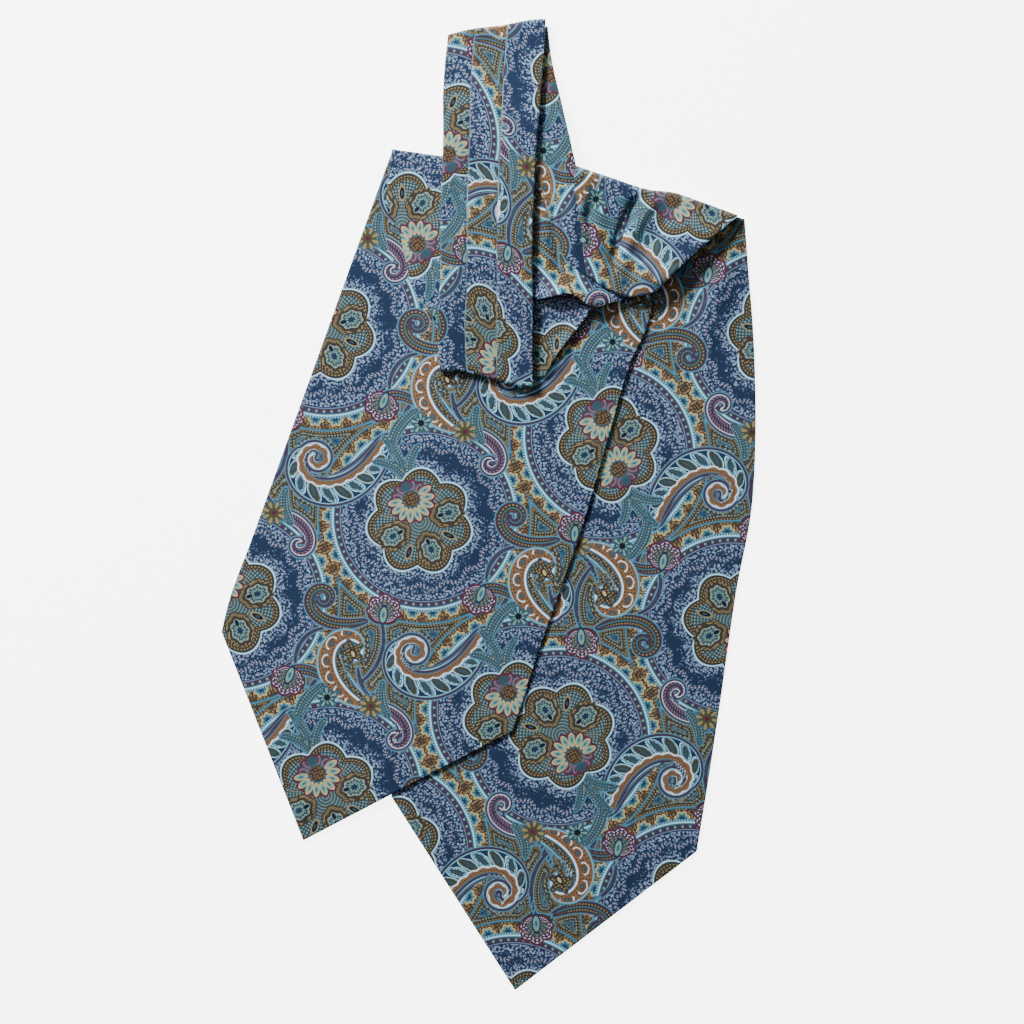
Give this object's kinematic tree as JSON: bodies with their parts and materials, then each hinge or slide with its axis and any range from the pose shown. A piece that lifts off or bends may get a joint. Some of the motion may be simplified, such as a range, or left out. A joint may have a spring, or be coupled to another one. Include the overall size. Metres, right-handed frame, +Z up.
{
  "type": "cravat",
  "caption": "Silk cravat laid flat: wide pointed blades joined by a pleated neckband that is folded back over them.",
  "frame": {"origin": "centre of the bounding box in X and Y, on the table the cravat lies on", "axes": "+Z up from the table, +Y up the cravat from the points to the neckband's top loop, +X across to the blade that lies underneath"},
  "size_m": [0.2672, 0.4862, 0.0096],
  "materials": {
    "blade_under": "printed silk twill, soft sheen",
    "blade_over": "printed silk twill, soft sheen",
    "turnback_over": "printed silk twill, soft sheen",
    "turnback_under": "printed silk twill, soft sheen",
    "band_front": "printed silk twill, soft sheen",
    "band_back": "printed silk twill, soft sheen"
  },
  "bodies": {
    "root": {"blade_under": "blade_under", "blade_over": "blade_over", "turnback_over": "turnback_over", "turnback_under": "turnback_under", "band_front": "band_front", "band_back": "band_back"}
  },
  "joints": []
}
